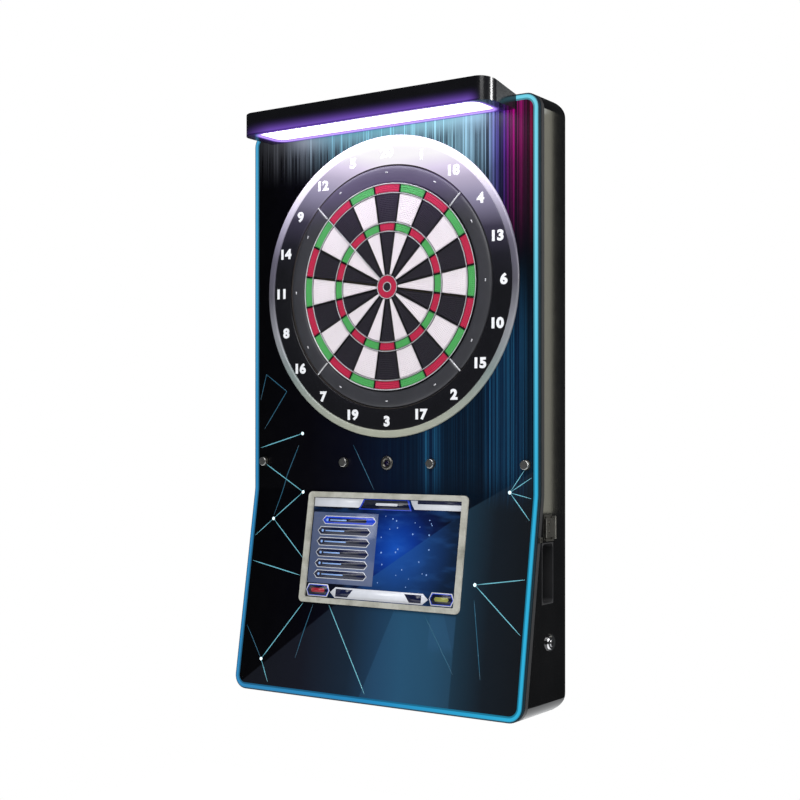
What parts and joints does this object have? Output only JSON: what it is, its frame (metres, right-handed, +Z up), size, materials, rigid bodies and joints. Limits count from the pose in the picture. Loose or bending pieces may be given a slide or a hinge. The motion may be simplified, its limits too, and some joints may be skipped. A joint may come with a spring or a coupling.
{
  "type": "electronic dartboard",
  "caption": "Wall-hung electronic dartboard cabinet with a swing-out lit front, round soft-tip target, hood light, push buttons and a screen on a sloping lower panel.",
  "frame": {"origin": "middle of the base of the whole object's box, on the surface the cabinet stands on", "axes": "+X to the right seen from the front, +Y to the back (the wall), +Z up"},
  "size_m": [0.6704, 0.198, 1.13],
  "materials": {
    "gloss_black": "gloss",
    "satin_black": "satin",
    "frame_black": "satin",
    "printed_sheet": "gloss",
    "backing_board": "matte",
    "edge_glow": "glowing",
    "hood_glow": "glowing",
    "zinc": "satin",
    "chrome": "polished",
    "brushed_metal": "brushed",
    "dark_metal": "satin",
    "circuit_board": "satin",
    "led_board": "satin",
    "number_band": "satin",
    "pale_rim": "frosted",
    "catch_charcoal": "textured",
    "web_black": "satin",
    "segment_red": "satin",
    "segment_green": "satin",
    "segment_black": "satin",
    "segment_white": "satin",
    "membrane": "satin",
    "rubber": "matte",
    "screen_glass": "gloss",
    "lens": "gloss",
    "rocker_red": "gloss"
  },
  "bodies": {
    "cabinet": {"cabinet_side_left": "gloss_black", "cabinet_side_right": "gloss_black", "cabinet_top": "gloss_black", "cabinet_bottom": "gloss_black", "back_panel": "frame_black", "wall_plate": "zinc", "hinge_leaf_fixed": "zinc", "hinge_pin": "chrome", "power_supply": "zinc", "main_board": "circuit_board", "power_inlet": "satin_black", "grip_cup": "satin_black", "latch_base": "zinc", "lock_body": "chrome"},
    "front": {"door_frame": "frame_black", "panel_backer": "backing_board", "front_panel": "printed_sheet", "edge_light": "edge_glow", "hinge_leaf_door": "zinc", "latch_keeper": "zinc", "lock_strike": "zinc", "hood_shell": "gloss_black", "hood_diffuser": "hood_glow", "hood_led_board": "led_board", "number_ring": "number_band", "rim_ring": "pale_rim", "catch_ring_1": "catch_charcoal", "catch_ring_2": "catch_charcoal", "catch_ring_3": "catch_charcoal", "catch_ring_4": "catch_charcoal", "spider": "web_black", "contact_membrane": "membrane", "rubber_mat": "rubber", "target_plate": "satin_black", "screen_bezel": "brushed_metal", "screen_glass": "screen_glass", "lcd_panel": "zinc", "lcd_bracket": "zinc", "camera_ring": "brushed_metal", "camera_lens": "lens", "button_barrels": "dark_metal"},
    "button_1": {"button_1": "brushed_metal"},
    "button_2": {"button_2": "brushed_metal"},
    "button_3": {"button_3": "brushed_metal"},
    "button_4": {"button_4": "brushed_metal"},
    "latch": {"latch_paddle": "brushed_metal"},
    "lock": {"lock_plug": "chrome"},
    "rocker": {"rocker": "rocker_red"},
    "double_red": {"double_red": "segment_red"},
    "double_green": {"double_green": "segment_green"},
    "outer_black": {"outer_black": "segment_black"},
    "outer_white": {"outer_white": "segment_white"},
    "treble_red": {"treble_red": "segment_red"},
    "treble_green": {"treble_green": "segment_green"},
    "inner_black": {"inner_black": "segment_black"},
    "inner_white": {"inner_white": "segment_white"},
    "bull_outer": {"bull_outer": "segment_red"},
    "bull_inner": {"bull_inner": "segment_black"}
  },
  "joints": [
    {"name": "front_swing", "type": "hinge", "parent": "cabinet", "child": "front", "pos_m": [-0.3315, 0.0173, 0.759], "axis": [0, 0, -1], "range_deg": [0, 100]},
    {"name": "latch_flip", "type": "hinge", "parent": "cabinet", "child": "latch", "pos_m": [0.3317, 0.0485, 0.337], "axis": [0, 0, 1], "range_deg": [0, 75], "stiffness_Nm_per_rad": 0.05},
    {"name": "lock_turn", "type": "hinge", "parent": "cabinet", "child": "lock", "pos_m": [0.32, 0.0385, 0.131], "axis": [-1, 0, 0], "range_deg": [0, 90]},
    {"name": "rocker_tilt", "type": "hinge", "parent": "cabinet", "child": "rocker", "pos_m": [-0.321, 0.054, 0.142], "axis": [0, 1, 0], "range_deg": [0, 18]},
    {"name": "button_1_press", "type": "slide", "parent": "front", "child": "button_1", "axis": [0, 1, 0], "range_m": [0, 0.0025], "stiffness_N_per_m": 600},
    {"name": "button_2_press", "type": "slide", "parent": "front", "child": "button_2", "axis": [0, 1, 0], "range_m": [0, 0.0025], "stiffness_N_per_m": 600},
    {"name": "button_3_press", "type": "slide", "parent": "front", "child": "button_3", "axis": [0, 1, 0], "range_m": [0, 0.0025], "stiffness_N_per_m": 600},
    {"name": "button_4_press", "type": "slide", "parent": "front", "child": "button_4", "axis": [0, 1, 0], "range_m": [0, 0.0025], "stiffness_N_per_m": 600},
    {"name": "double_red_press", "type": "slide", "parent": "front", "child": "double_red", "axis": [0, 1, 0], "range_m": [0, 0.0015], "stiffness_N_per_m": 1500},
    {"name": "double_green_press", "type": "slide", "parent": "front", "child": "double_green", "axis": [0, 1, 0], "range_m": [0, 0.0015], "stiffness_N_per_m": 1500},
    {"name": "outer_black_press", "type": "slide", "parent": "front", "child": "outer_black", "axis": [0, 1, 0], "range_m": [0, 0.0015], "stiffness_N_per_m": 1500},
    {"name": "outer_white_press", "type": "slide", "parent": "front", "child": "outer_white", "axis": [0, 1, 0], "range_m": [0, 0.0015], "stiffness_N_per_m": 1500},
    {"name": "treble_red_press", "type": "slide", "parent": "front", "child": "treble_red", "axis": [0, 1, 0], "range_m": [0, 0.0015], "stiffness_N_per_m": 1500},
    {"name": "treble_green_press", "type": "slide", "parent": "front", "child": "treble_green", "axis": [0, 1, 0], "range_m": [0, 0.0015], "stiffness_N_per_m": 1500},
    {"name": "inner_black_press", "type": "slide", "parent": "front", "child": "inner_black", "axis": [0, 1, 0], "range_m": [0, 0.0015], "stiffness_N_per_m": 1500},
    {"name": "inner_white_press", "type": "slide", "parent": "front", "child": "inner_white", "axis": [0, 1, 0], "range_m": [0, 0.0015], "stiffness_N_per_m": 1500},
    {"name": "bull_outer_press", "type": "slide", "parent": "front", "child": "bull_outer", "axis": [0, 1, 0], "range_m": [0, 0.0015], "stiffness_N_per_m": 400},
    {"name": "bull_inner_press", "type": "slide", "parent": "front", "child": "bull_inner", "axis": [0, 1, 0], "range_m": [0, 0.0015], "stiffness_N_per_m": 300}
  ]
}
